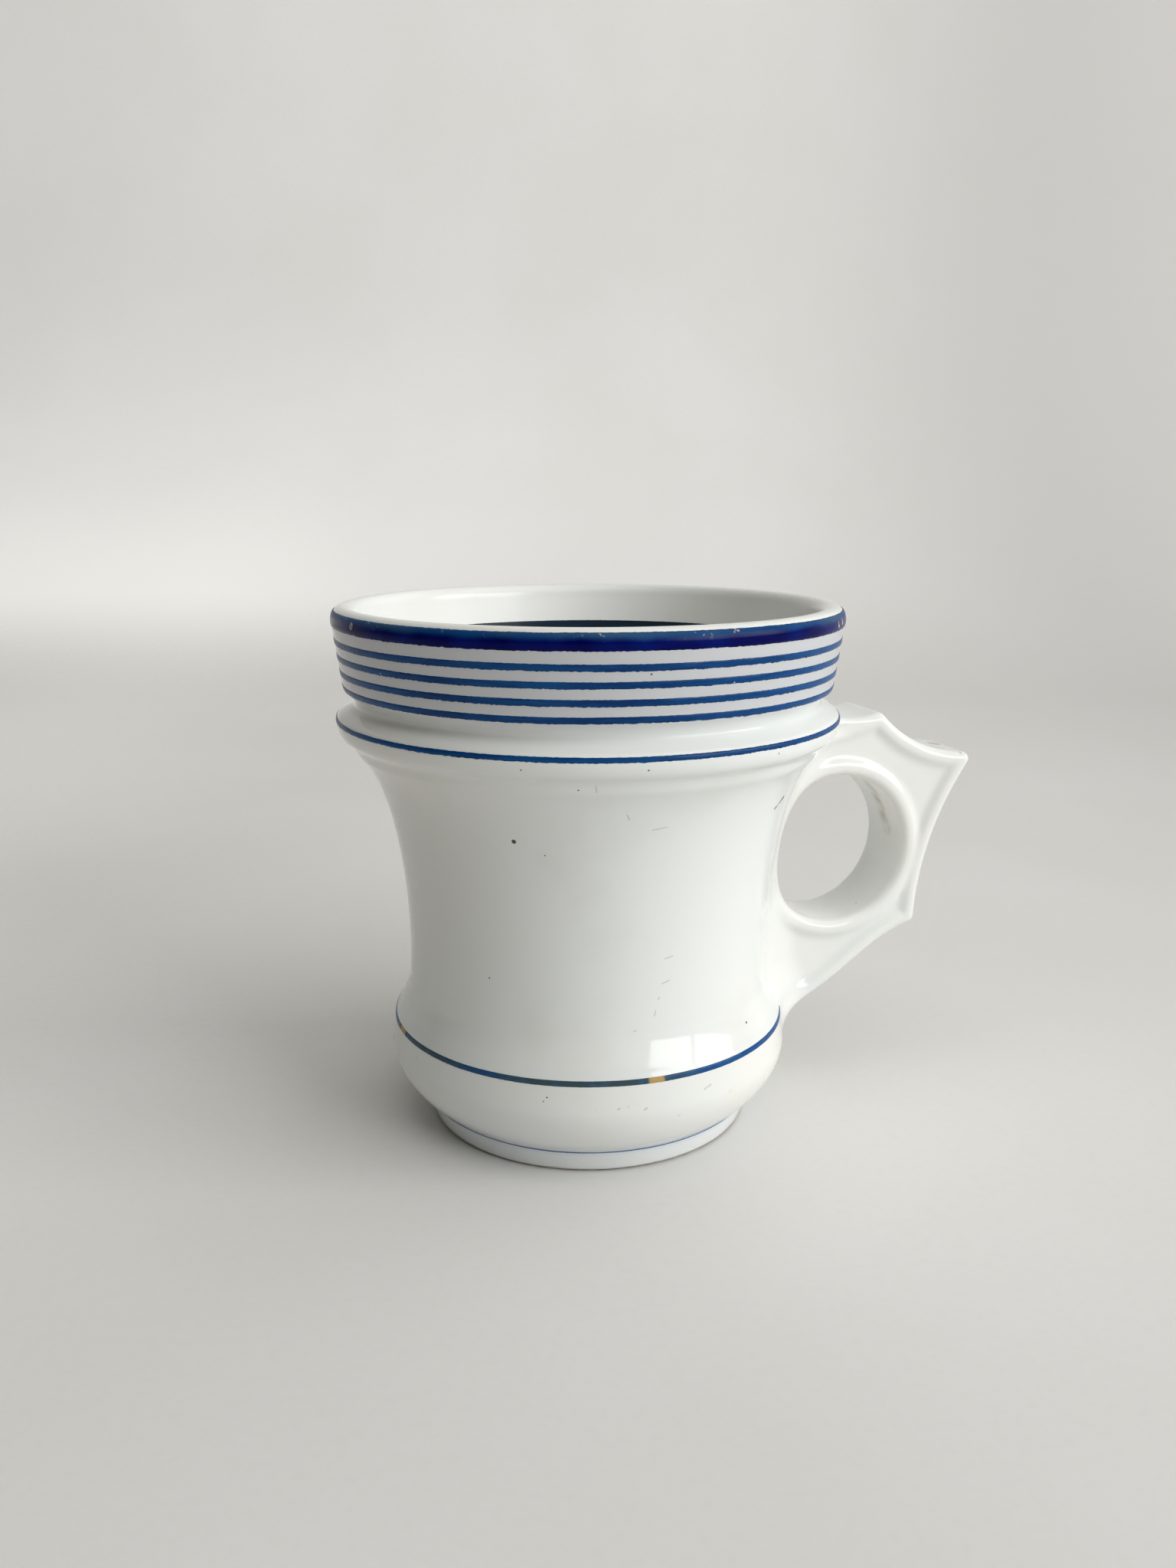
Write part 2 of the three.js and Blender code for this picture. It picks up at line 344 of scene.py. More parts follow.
def under_curves():
    """Control points of the underside, from its middle to the outer edge of the foot."""
    ring = FOOT_RADIUS - FOOT_RING_WIDTH
    return [
        [(0, FOOT_RECESS), (ring, FOOT_RECESS)],
        [(ring, FOOT_RECESS), (ring, 0)],
        [(ring, 0), (FOOT_RADIUS, 0)],
    ]


def body_profile():
    """Radius and height from the middle of the underside, up the outside and down to the floor inside."""
    curves = under_curves() + outer_curves() + inner_curves()
    points = np.concatenate([curve_points(curve) for curve in curves])
    moved = np.concatenate([[True], np.hypot(*np.diff(points, axis=0).T) > SAME_POINT])
    step = GLAZE_ROUNDING / ROUNDING_STEPS
    smooth = soften(even_steps(points[moved], step), GLAZE_ROUNDING, step)
    return np.maximum(smooth, 0)


PROFILE = body_profile()
CREST = int(np.argmax(PROFILE[:, 1]))
FOOT_EDGE = int(np.argmax(PROFILE[:, 0] > FOOT_RADIUS - GLAZE_ROUNDING))
OUTSIDE = PROFILE[FOOT_EDGE:CREST]
INSIDE = PROFILE[CREST:][::-1]


def outside_radius(height):
    """Radius of the body's outside at a height."""
    return np.interp(height, OUTSIDE[:, 1], OUTSIDE[:, 0])


def inside_radius(height):
    """Radius of the body's hollow at a height."""
    return np.interp(height, INSIDE[:, 1], INSIDE[:, 0])


# Geometry Nodes: the turned body and the painted lines

def new_tree(name, inputs):
    """A Geometry Nodes tree with a geometry in, a geometry out and the given named inputs."""
    tree = bpy.data.node_groups.new(name, "GeometryNodeTree")
    tree.interface.new_socket("Geometry", in_out="INPUT", socket_type="NodeSocketGeometry")
    for label, kind in inputs.items():
        tree.interface.new_socket(label, in_out="INPUT", socket_type=kind)
    tree.interface.new_socket("Geometry", in_out="OUTPUT", socket_type="NodeSocketGeometry")
    entry = tree.nodes.new("NodeGroupInput")
    wires = {socket.name: Wire(tree, socket) for socket in entry.outputs if socket.name}
    return tree, wires


def unit_grid(tree, along_steps, around_steps):
    """A flat grid one unit wide, how far along it each point lies, and each point's turn about the axis."""
    grid = add_node(tree, "GeometryNodeMeshGrid", {}, {
        "Vertices X": along_steps + 1, "Vertices Y": around_steps + 1})
    place = add_node(tree, "GeometryNodeInputPosition", {}, {})
    from_middle = add_node(tree, "ShaderNodeSeparateXYZ", {}, {0: place})
    return grid, from_middle + 1 / 2, (from_middle.other("Y") + 1 / 2) * math.tau


def about_axis(radius, turn, height, axis_x):
    """The point at a radius, a turn and a height about the upright axis."""
    return radius.node("ShaderNodeCombineXYZ", {}, {
        0: radius * turn.maths("COSINE") + axis_x, 1: radius * turn.maths("SINE"), 2: height})


def close_tree(tree, grid, places, weld, material):
    """Moves the grid's points to their places, welds the seams, and ends the tree with its material."""
    moved = add_node(tree, "GeometryNodeSetPosition", {}, {"Geometry": grid, "Position": places})
    merged = add_node(tree, "GeometryNodeMergeByDistance", {}, {"Geometry": moved, "Distance": weld})
    smooth = add_node(tree, "GeometryNodeSetShadeSmooth", {}, {0: merged})
    real = add_node(tree, "GeometryNodeRealizeInstances", {}, {0: smooth})
    done = add_node(tree, "GeometryNodeSetMaterial", {}, {"Geometry": real, "Material": material})
    leave = tree.nodes.new("NodeGroupOutput")
    tree.links.new(done.socket, leave.inputs[0])


def grown_mesh(name, source, tree, values):
    """Runs a tree on a source object and keeps the result as a plain mesh object of that name."""
    modifier = source.modifiers.new("make", "NODES")
    modifier.node_group = tree
    for item in tree.interface.items_tree:
        if item.in_out == "INPUT" and item.name in values:
            modifier[item.identifier] = values[item.name]
    bpy.context.view_layer.update()
    evaluated = source.evaluated_get(bpy.context.evaluated_depsgraph_get())
    mesh = bpy.data.meshes.new_from_object(evaluated)
    source.modifiers.remove(modifier)
    bpy.data.objects.remove(source)
    mesh.name = name
    piece = bpy.data.objects.new(name, mesh)
    bpy.context.scene.collection.objects.link(piece)
    return piece


def wheel_tree(material):
    """Turns the incoming profile curve, radius along X and height along Z, about the upright axis."""
    tree, wires = new_tree("turned_body", {
        "Turn Segments": "NodeSocketInt", "Profile Steps": "NodeSocketInt", "Axis X": "NodeSocketFloat"})
    grid, along, turn = unit_grid(tree, wires["Profile Steps"], wires["Turn Segments"])
    sample = add_node(tree, "GeometryNodeSampleCurve", {"mode": "FACTOR"},
                      {"Curves": wires["Geometry"], "Factor": along}, "Position")
    radius = add_node(tree, "ShaderNodeSeparateXYZ", {}, {0: sample})
    places = about_axis(radius, turn, radius.other("Z"), wires["Axis X"])
    close_tree(tree, grid, places, BODY_WELD, material)
    return tree


def line_tree(material):
    """A brushed enamel line round the axis: a flat closed ring whose two edges waver."""
    sizes = ("Axis X", "Height", "Width", "Radius", "Lean", "Bend", "Thickness", "Waver",
             "Ragged Top", "Ragged Foot", "Seed")
    inputs = {"Around": "NodeSocketInt", "Across": "NodeSocketInt"}
    inputs.update((size, "NodeSocketFloat") for size in sizes)
    tree, wires = new_tree("painted_line", inputs)
    grid, across, turn = unit_grid(tree, wires["Across"], wires["Around"])
    section = across * math.tau
    edge = section.maths("COSINE")
    lift = section.maths("SINE") * LINE_FLATNESS
    lift = lift.maths("MINIMUM", 1.0).maths("MAXIMUM", -1.0)

    def unevenness(scale, layer):
        spot = add_node(tree, "ShaderNodeCombineXYZ", {}, {
            0: turn.maths("COSINE"), 1: turn.maths("SINE"), 2: layer})
        noise = add_node(tree, "ShaderNodeTexNoise", {}, {
            "Vector": spot, "Scale": scale, "Detail": BRUSH_DETAIL})
        return noise - NOISE_MEAN

    side = edge.maths("SIGN") + wires["Seed"] * SEED_SPREAD
    waver = unevenness(WAVER_SCALE, wires["Seed"]) * wires["Waver"]
    upper = edge.ramp(-EDGE_BLEND, EDGE_BLEND)
    depth = upper * wires["Ragged Top"] + (1 - upper) * wires["Ragged Foot"]
    fine = unevenness(FINE_RAGGED_SCALE, side)
    coarse = unevenness(COARSE_RAGGED_SCALE, side)
    ragged = (fine + coarse * COARSE_RAGGED_SHARE) * depth
    rise = edge * (wires["Width"] / 2 + ragged) + waver
    radius = wires["Radius"] + wires["Lean"] * rise + wires["Bend"] * rise * rise + lift * wires["Thickness"]
    places = about_axis(radius, turn, wires["Height"] + rise, wires["Axis X"])
    close_tree(tree, grid, places, LINE_WELD, material)
    return tree


def profile_curve(points):
    """A curve object through profile points, radius along X and height along Z, in metres."""
    data = bpy.data.curves.new("profile", "CURVE")
    data.dimensions = "3D"
    spline = data.splines.new("POLY")
    spline.points.add(len(points) - 1)
    for target, (radius, height) in zip(spline.points, points):
        target.co = (radius * MM, 0.0, height * MM, 1.0)
    curve = bpy.data.objects.new("profile", data)
    bpy.context.scene.collection.objects.link(curve)
    return curve


def outward(piece):
    """Recalculates a closed mesh so that its faces point out."""
    mesh = bmesh.new()
    mesh.from_mesh(piece.data)
    bmesh.ops.recalc_face_normals(mesh, faces=mesh.faces)
    mesh.to_mesh(piece.data)
    mesh.free()


def turned_body(material):
    """The whole body in one piece, turned from its profile."""
    piece = grown_mesh("turned_body", profile_curve(PROFILE), wheel_tree(material), {
        "Turn Segments": TURN_SEGMENTS, "Profile Steps": PROFILE_STEPS, "Axis X": AXIS_X})
    outward(piece)
    return piece


def painted_line(node, tree, radius_at, seed, share=1.0, ragged=1.0, thickness=LINE_THICKNESS):
    """A line laid on the body where the frame has its solid, as a share of its width."""
    low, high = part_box(node)
    middle = (low[2] + high[2]) / 2
    width = (high[2] - low[2]) * share
    across = np.linspace(-width / 2, width / 2, FIT_STEPS)
    bend, lean, centre = np.polyfit(across, radius_at((middle + across) / MM) * MM, 2)
    carrier = bpy.data.objects.new(node, bpy.data.meshes.new(node))
    bpy.context.scene.collection.objects.link(carrier)
    piece = grown_mesh("painted_" + node, carrier, tree, {
        "Around": LINE_STEPS, "Across": LINE_SECTION_STEPS, "Axis X": AXIS_X,
        "Height": middle, "Width": width,
        "Radius": float(centre), "Lean": float(lean), "Bend": float(bend),
        "Thickness": thickness * MM, "Waver": LINE_WAVER * MM,
        "Ragged Top": ragged * LINE_RAGGED_TOP * MM, "Ragged Foot": ragged * LINE_RAGGED_FOOT * MM,
        "Seed": float(seed)})
    outward(piece)
    return piece


# The handle: a distance field of its rounded plate, blended into the body, as a mesh

def beside_chord(start, end, share, distance):
    """A point beside a straight line from start to end, to the right of its direction."""
    along = end - start
    right = np.array([along[1], -along[0]]) / np.hypot(*along)
    return start + along * share + right * distance


def inset_corner(before, corner, after, inset):
    """A corner moved inwards by the same distance from both of the lines that meet there."""
    first = (corner - before) / np.hypot(*(corner - before))
    second = (after - corner) / np.hypot(*(after - corner))
    bisector = np.array([first[1] + second[1], -first[0] - second[0]])
    return corner + bisector * 2 * inset / (bisector @ bisector)


def handle_outline(inset):
    """The handle's cusped outline, moved inwards, as a closed polygon."""
    corners = [np.array(corner, float) for corner in
               ((ROOT_REACH, ROOT_TOP), TOP_CUSP, TIP, LOWER_TIP, (ROOT_REACH, ROOT_BOTTOM))]
    root_top = corners[0] - (0, inset)
    top_cusp, tip, lower_tip = (inset_corner(*corners[i:i + 3], inset) for i in range(3))
    root_bottom = corners[-1] + (0, inset)
    upper = beside_chord(top_cusp, tip, 1 / 2, 2 * UPPER_SCALLOP)
    side = beside_chord(tip, lower_tip, 1 / 2, 2 * SIDE_SCALLOP)
    sway = beside_chord(lower_tip, root_bottom, 1 / 3, LOWER_SWAY)
    bulge = beside_chord(lower_tip, root_bottom, 2 / 3, -LOWER_BULGE)
    stretches = ([root_top, top_cusp], [top_cusp, upper, tip], [tip, side, lower_tip],
                 [lower_tip, sway, bulge, root_bottom])
    return np.concatenate([curve_points(s)[:-1] for s in stretches] + [[root_bottom]])


def hole_outline(grow):
    """The leaning oval of the finger hole, grown on all sides, as a closed polygon."""
    turn = np.linspace(0, math.tau, HOLE_STEPS, endpoint=False)
    across = (HOLE_WIDTH / 2 + grow) * np.cos(turn)
    along = (HOLE_LENGTH / 2 + grow) * np.sin(turn)
    cosine, sine = math.cos(HOLE_LEAN), math.sin(HOLE_LEAN)
    return np.stack([across, along], axis=1) @ np.array([[cosine, -sine], [sine, cosine]]) + HOLE_CENTRE


def polygon_distance(reach, height, polygon):
    """Signed distance to a closed polygon, negative inside."""
    nearest = np.full(reach.shape, np.inf)
    inside = np.zeros(reach.shape, bool)
    for start, end in zip(polygon, np.roll(polygon, -1, axis=0)):
        along = end - start
        share = ((reach - start[0]) * along[0] + (height - start[1]) * along[1]) / (along @ along)
        share = np.clip(share, 0, 1)
        gap = np.hypot(reach - start[0] - share * along[0], height - start[1] - share * along[1])
        nearest = np.minimum(nearest, gap)
        if start[1] != end[1]:
            spans = (start[1] > height) != (end[1] > height)
            inside ^= spans & (reach < start[0] + (height - start[1]) * along[0] / along[1])
    return np.where(inside, -nearest, nearest)


def smooth_step(value):
    """Goes smoothly from 0 to 1 as the value does, and stays there."""
    value = np.clip(value, 0, 1)
    return value * value * (3 - 2 * value)


def handle_field(reach, across, height):
    """Distance to the handle blended into the body with a fillet, cut off a little under the body's skin."""
    flat_reach, flat_height = reach[:, 0, :], height[:, 0, :]
    inner = polygon_distance(flat_reach, flat_height, handle_outline(HANDLE_ROUND))
    hole = polygon_distance(flat_reach, flat_height, hole_outline(HANDLE_ROUND))
    from_edge = -inner + HANDLE_ROUND
    from_hole = hole + HANDLE_ROUND
    panel = smooth_step((from_edge - HANDLE_BEAD) / PANEL_SOFTNESS)
    panel = panel * smooth_step((from_hole - HANDLE_BEAD) / PANEL_SOFTNESS)
    panel = panel * smooth_step((flat_reach - outside_radius(flat_height)) / PANEL_FADE)
    plate = np.maximum(inner, -hole)[:, None, :]
    half = (HANDLE_WIDTH / 2 - HANDLE_ROUND - PANEL_DEPTH * panel)[:, None, :]
    over = np.abs(across) - half
    outside = np.hypot(np.maximum(plate, 0), np.maximum(over, 0))
    handle = np.minimum(np.maximum(plate, over), 0) + outside - HANDLE_ROUND
    levels = height[0, 0, :]
    radius = outside_radius(levels)
    slope = np.gradient(radius, levels)
    body = (np.hypot(reach, across) - radius) / np.sqrt(1 + slope ** 2) + FILLET_SINK
    mix = np.maximum(ROOT_FILLET - np.abs(handle - body), 0) / ROOT_FILLET
    joined = np.minimum(handle, body) - mix ** 2 * ROOT_FILLET / 4
    return np.maximum(np.maximum(joined, -body - ROOT_DEPTH), handle - ROOT_FILLET)


def surface_net(field, low, step):
    """A closed quad mesh on the zero level of a field that was sampled on an even grid."""
    shape = np.array(field.shape) - 1
    solid = field < 0
    total = np.zeros((*shape, 3))
    count = np.zeros(tuple(shape))
    edges = []
    for axis in range(3):
        others = [a for a in range(3) if a != axis]
        first = [slice(1, -1)] * 3
        second = [slice(1, -1)] * 3
        first[axis] = slice(0, -1)
        second[axis] = slice(1, None)
        a, b = field[tuple(first)], field[tuple(second)]
        cut = np.argwhere(solid[tuple(first)] != solid[tuple(second)])
        values = a[tuple(cut.T)], b[tuple(cut.T)]
        base = cut.copy()
        base[:, others] += 1
        point = base.astype(float)
        point[:, axis] += values[0] / (values[0] - values[1])
        corners = []
        for shift in ((0, 0), (-1, 0), (-1, -1), (0, -1)):
            cell = base.copy()
            cell[:, others[0]] += shift[0]
            cell[:, others[1]] += shift[1]
            np.add.at(total, tuple(cell.T), point)
            np.add.at(count, tuple(cell.T), 1)
            corners.append(cell)
        edges.append((corners, (values[0] < 0) != (axis == 1)))
    used = count > 0
    number = np.full(tuple(shape), -1)
    number[used] = np.arange(used.sum())
    vertices = total[used] / count[used][:, None] * step + low
    faces = []
    for corners, forward in edges:
        quad = np.stack([number[tuple(c.T)] for c in corners], axis=1)
        quad[~forward] = quad[~forward][:, ::-1]
        faces.append(quad)
    return vertices, np.concatenate(faces)


def cast_handle(material):
    """The handle, meshed from its field and evened out."""
    side = HANDLE_WIDTH / 2 + ROOT_FILLET + VOXEL_MARGIN
    low = np.array([ROOT_REACH - VOXEL_MARGIN, -side, ROOT_BOTTOM - ROOT_FILLET - VOXEL_MARGIN])
    high = np.array([TIP[0] + VOXEL_MARGIN, side, TOP_CUSP[1] + ROOT_FILLET + VOXEL_MARGIN])
    counts = ((high - low) / HANDLE_VOXEL).astype(int) + 1
    axes = [low[i] + HANDLE_VOXEL * np.arange(counts[i]) for i in range(3)]
    reach, across, height = np.meshgrid(*axes, indexing="ij")
    vertices, faces = surface_net(handle_field(reach, across, height), low, HANDLE_VOXEL)
    mesh = bpy.data.meshes.new("cast_handle")
    mesh.from_pydata((vertices * MM + (AXIS_X, 0, 0)).tolist(), [], faces.tolist())
    mesh.materials.append(material)
    mesh.shade_smooth()
    piece = bpy.data.objects.new("cast_handle", mesh)
    bpy.context.scene.collection.objects.link(piece)
    evener = piece.modifiers.new("even", "SMOOTH")
    evener.factor = EVEN_SHARE
    evener.iterations = EVEN_ROUNDS
    evaluated = piece.evaluated_get(bpy.context.evaluated_depsgraph_get())
    piece.data = bpy.data.meshes.new_from_object(evaluated)
    piece.modifiers.clear()
    outward(piece)
    piece.data.shade_smooth()
    return piece


# Marks of use on the body, as an angle in degrees about the axis, from the handle, and a height in mm
IRON_SPOTS = (
    ((-125.7, 52.0), 0.55), ((-117.9, 50.2), 0.08), ((-136.8, 30.3), 0.12), ((-94.9, 76.0), 0.15),
    ((-65.0, 64.0), 0.1), ((-53.0, 20.3), 0.25), ((-117.7, 14.7), 0.12), ((-118.6, 14.1), 0.06),
    ((-109.0, 60.6), 0.1), ((-95.3, 63.6), 0.12), ((-120.0, 63.6), 0.1))
SCRATCHES = (
    ((-91.3, 53.9), (-87.6, 54.2)), ((-98.0, 56.5), (-97.3, 55.7)), ((-84.6, 33.9), (-82.2, 34.1)),
    ((-85.3, 30.1), (-82.9, 30.5)), ((-86.5, 27.8), (-86.1, 28.1)), ((-87.6, 25.4), (-87.2, 26.2)),
    ((-105.4, 61.2), (-105.2, 60.3)), ((-93.9, 23.4), (-93.2, 23.6)))
BROWN_SMEARS = (
    ((-99.2, 13.1), (-96.5, 13.4)), ((-82.6, 10.8), (-82.0, 11.1)),
    ((-92.2, 12.7), (-91.6, 12.9)), ((-74.5, 13.9), (-72.5, 14.3)))
DARK_GRAZE = ((-48.6, 53.4), (-45.4, 54.8))
RIM_CHIPS = ((-164.3, 80.3), (-37.0, 80.2), (-40.5, 80.0))
BELLY_LINE_BARE = (math.radians(-88.7), math.radians(-173.9))
BARE_HALF_TURN = math.radians(2.1)
BELLY_GREYED_TO = (math.radians(-85), math.radians(-70))
BELLY_DIRT_HEIGHT = 12.6

# Marks on the handle, as reach from the axis, distance across and height, in mm
HOLE_STAIN = (
    (47.3, -2.5, 51.4), (49.1, -1.2, 50.1), (50.9, -0.2, 48.0), (52.5, 0.0, 44.9), (53.1, -0.8, 42.5))
TOP_MARK = ((62.2, 1.8, 56.0), (62.9, 0.9, 55.9))
TIP_CHIP = (63.7, -5.4, 55.7)

# Width and soft edge of each kind of mark in mm, and how much of it shows
IRON_LOOK = {"softness": 0.12, "strength": 0.95}
SCRATCH_LOOK = {"width": 0.02, "softness": 0.12, "strength": 0.35}
GRAZE_LOOK = {"width": 0.2, "softness": 0.35}
SMEAR_LOOK = {"width": 0.04, "softness": 0.2, "strength": 0.45}
STAIN_LOOK = {"width": 0.3, "softness": 1.9}
TOP_MARK_LOOK = {"width": 0.5, "softness": 0.7, "strength": 0.7}
TIP_CHIP_LOOK = {"width": 0.6, "softness": 0.8, "strength": 0.5}
RIM_CHIP_LOOK = {"width": 0.7, "softness": 0.3}

# Colours of the porcelain and of what lies on it
COOL_WHITE = (0.79, 0.81, 0.80, 1)
WARM_WHITE = (0.815, 0.81, 0.78, 1)
MOTTLE_GREY = (0.70, 0.70, 0.66, 1)
POOLED_GLAZE = (0.66, 0.71, 0.75, 1)
# Painted shade: a grey for the collar's down-facing face and the step above the groove
COLLAR_PAINTED_SHADE = (0.57, 0.58, 0.605, 1)
HOLLOW_WHITE = (0.88, 0.88, 0.86, 1)
DIRT_BROWN = (0.24, 0.17, 0.09, 1)
STAIN_BROWN = (0.36, 0.28, 0.16, 1)
IRON_BLACK = (0.045, 0.04, 0.035, 1)
DARK_FOOT_EDGE = (0.20, 0.165, 0.12, 1)
BARE_CLAY = (0.48, 0.45, 0.39, 1)

# Colours of the enamels, thick and thin, and of what shows where they are worn
LINE_BLUE = ((0.0, 0.030, 0.135, 1), (0.004, 0.085, 0.270, 1))
# The inner line's colours are a navy enamel darkened with painted shade, for the shadow on the far inside
# wall
INNER_BLUE_AND_SHADE = ((0.010, 0.018, 0.026, 1), (0.010, 0.030, 0.060, 1))
PINHOLE_WHITE = (0.5, 0.53, 0.55, 1)
RIM_NAVY = ((0.0, 0.001, 0.070, 1), (0.0, 0.006, 0.125, 1))
RIM_RUBBED = ((0.004, 0.055, 0.19, 1), (0.026, 0.085, 0.18, 1))
RIM_WORN = (0.56, 0.47, 0.42, 1)
BELLY_BLUE = (0.004, 0.066, 0.235, 1)
BELLY_GREY = (0.040, 0.075, 0.095, 1)
BELLY_THIN = (0.05, 0.14, 0.27, 1)
BELLY_OCHRE = (0.46, 0.31, 0.12, 1)
FOOT_BLUE = ((0.045, 0.10, 0.27, 1), (0.17, 0.22, 0.33, 1))

# Gloss, as each shader's specular level, and the plain roughness of each surface
GLAZE_GLOSS = 0.3
ENAMEL_GLOSS = 0.14
BAND_GLOSS = 0.06
GLAZE_ROUGHNESS = 0.07
ENAMEL_ROUGHNESS = 0.2
BELLY_LINE_ROUGHNESS = 0.25

# How a bump's depth, in metres, and strength show on each surface
GLAZE_BUMP = {"Strength": 0.14, "Distance": 0.0006}
ENAMEL_BUMP = {"Strength": 0.25, "Distance": 0.0002}
RIM_BUMP = {"Strength": 0.3, "Distance": 0.0002}

# Patterns are drawn out around the body by the wheel, and along the lines by the brush
WHEEL_STRETCH = (0.12, 0.12, 1.0)
BRUSH_STRETCH = (0.25, 0.25, 3.0)

# How much of a speck is solid before it fades, and how sharply chance picks one
SPECK_CORE = 0.6
CHANCE_EDGE = 0.01

# The hollow's white fades out between these radii, in mm
HOLLOW_EDGE = (34.9, 35.4)


def on_body(angle, height):
    """A point on the outside of the body, in the frame."""
    radius = outside_radius(height)
    turn = math.radians(angle)
    return np.array([radius * math.cos(turn), radius * math.sin(turn), height]) * MM + (AXIS_X, 0, 0)


def on_handle(reach, across, height):
    """A point on the handle, in the frame."""
    return np.array([reach, across, height]) * MM + (AXIS_X, 0, 0)


class Finish:
    """A material under construction: its tree, its shader and the place on the surface."""

    def __init__(self, name):
        self.material = bpy.data.materials.new(name)
        self.material.use_nodes = True
        self.tree = self.material.node_tree
        self.shader = self.tree.nodes["Principled BSDF"]
        self.place = add_node(self.tree, "ShaderNodeTexCoord", {}, {}, "Object")
        axes = add_node(self.tree, "ShaderNodeSeparateXYZ", {}, {0: self.place})
        out = axes - AXIS_X
        side = axes.other("Y")
        self.height = axes.other("Z") / MM
        self.angle = side.maths("ARCTAN2", out)
        self.radius = (out * out + side * side).maths("SQRT") / MM

    def feed(self, socket, wire):
        """Lets a wire drive one of the shader's sockets."""
        self.tree.links.new(wire.socket, self.shader.inputs[socket])

    def fix(self, socket, value):
        """Sets one of the shader's sockets to a plain value."""
        self.shader.inputs[socket].default_value = value

    def bump(self, look, height):
        """Lets a height pattern dent the surface."""
        self.feed("Normal", add_node(self.tree, "ShaderNodeBump", {}, {**look, "Height": height}))

    def mixed(self, factor, first, second):
        """Goes from one colour to another."""
        settings = {"data_type": "RGBA", "clamp_factor": True}
        return add_node(self.tree, "ShaderNodeMix", settings, {0: factor, 6: first, 7: second}, 2)

    def noise(self, scale, detail=3.0, place=None):
        """An even random pattern about a half."""
        return add_node(self.tree, "ShaderNodeTexNoise", {}, {
            "Vector": place or self.place, "Scale": scale, "Detail": detail})

    def stretched(self, scale):
        """The place on the surface, scaled along each axis."""
        return add_node(self.tree, "ShaderNodeMapping", {}, {"Vector": self.place, "Scale": scale})

    def specks(self, scale, size, share):
        """1 on small dots, one in a given share of the cells of a random pattern."""
        distance = add_node(self.tree, "ShaderNodeTexVoronoi", {}, {"Vector": self.place, "Scale": scale})
        chance = add_node(self.tree, "ShaderNodeSeparateColor", {}, {0: distance.other("Color")})
        return (1 - distance.ramp(size * SPECK_CORE, size)) * (1 - chance.ramp(share, share + CHANCE_EDGE))

    def streak(self, start, end, width, softness, strength=1.0):
        """A straight stroke between two points in space, fading out at its sides."""
        along = np.array(end) - np.array(start)
        inward = self.place.vector("SUBTRACT", tuple(start))
        share = inward.vector("DOT_PRODUCT", tuple(along / (along @ along)), 1)
        share = share.maths("MAXIMUM", 0.0).maths("MINIMUM", 1.0)
        nearest = add_node(self.tree, "ShaderNodeVectorMath", {"operation": "SCALE"}, {
            0: tuple(along), 3: share})
        distance = inward.vector("DISTANCE", nearest, 1) / MM
        return (1 - distance.ramp(width / 2, width / 2 + softness)) * strength

    def spot(self, middle, width, softness, strength=1.0):
        """A ball about a point in space, fading out at its edge."""
        distance = self.place.vector("DISTANCE", tuple(middle), 1) / MM
        return (1 - distance.ramp(width / 2, width / 2 + softness)) * strength

    def band(self, height, half, softness):
        """1 within a height range all round the body."""
        away = (self.height - height).maths("ABSOLUTE")
        return 1 - away.ramp(half, half + softness)


def strongest(masks):
    """The largest of several masks at each place."""
    total = masks[0]
    for mask in masks[1:]:
        total = total.maths("MAXIMUM", mask)
    return total


def fired_white(finish, cloud, hollow):
    """Clouded white, bluish where the glaze pooled, painted shade over the collar, whiter in the hollow."""
    mottle = finish.noise(70.0, detail=5.0)
    tone = finish.mixed(cloud.ramp(0.35, 0.68), COOL_WHITE, WARM_WHITE)
    tone = finish.mixed(mottle.ramp(0.52, 0.75) * 0.3, tone, MOTTLE_GREY)
    foot = 1 - finish.height.ramp(FOOT_HEIGHT - 1, FOOT_HEIGHT + 0.2)
    pooled = strongest([
        finish.band(FOOT_HEIGHT, half=0.5, softness=1.2) * 0.8,
        finish.band(LEDGE_TOP + 0.6, half=0.3, softness=1.3) * 0.2,
        finish.band(GROOVE + 0.6, half=0.5, softness=1.6) * 0.15,
        foot * 0.4])
    tone = finish.mixed(pooled, tone, POOLED_GLAZE)
    # Painted shade: greyer from the groove up over the collar's face, which leans out of the light
    below_lip = 1 - finish.height.ramp(RIM, RIM + 1)
    collar = (1 - hollow) * finish.height.ramp(GROOVE, COLLAR_FOOT + 2) * below_lip
    tone = finish.mixed(collar, tone, COLLAR_PAINTED_SHADE)
    return finish.mixed(hollow * 0.7, tone, HOLLOW_WHITE)


def brown_marks(finish, flecks, grit):
    """Flecks in the clay, smears and dirt on the belly, and a chip at the handle's tip."""
    smears = [finish.streak(on_body(*a), on_body(*b), **SMEAR_LOOK) * grit for a, b in BROWN_SMEARS]
    dirt = finish.band(BELLY_DIRT_HEIGHT, half=1.6, softness=2.2)
    dirt = dirt * finish.noise(260.0, detail=4.0).ramp(0.66, 0.82) * 0.3
    chip = finish.spot(on_handle(*TIP_CHIP), **TIP_CHIP_LOOK) * grit
    return strongest([flecks * 0.6, dirt, chip, *smears])


def dark_marks(finish, grit):
    """Iron spots in the glaze, scratches, one broad graze, and a mark on top of the handle."""
    iron = [finish.spot(on_body(*place), width, **IRON_LOOK) for place, width in IRON_SPOTS]
    scratches = [finish.streak(on_body(*a), on_body(*b), **SCRATCH_LOOK) for a, b in SCRATCHES]
    graze = finish.streak(*(on_body(*end) for end in DARK_GRAZE), **GRAZE_LOOK) * grit.ramp(-0.3, 0.6)
    top_mark = finish.streak(*(on_handle(*end) for end in TOP_MARK), **TOP_MARK_LOOK)
    return strongest([*iron, *scratches, graze, top_mark])


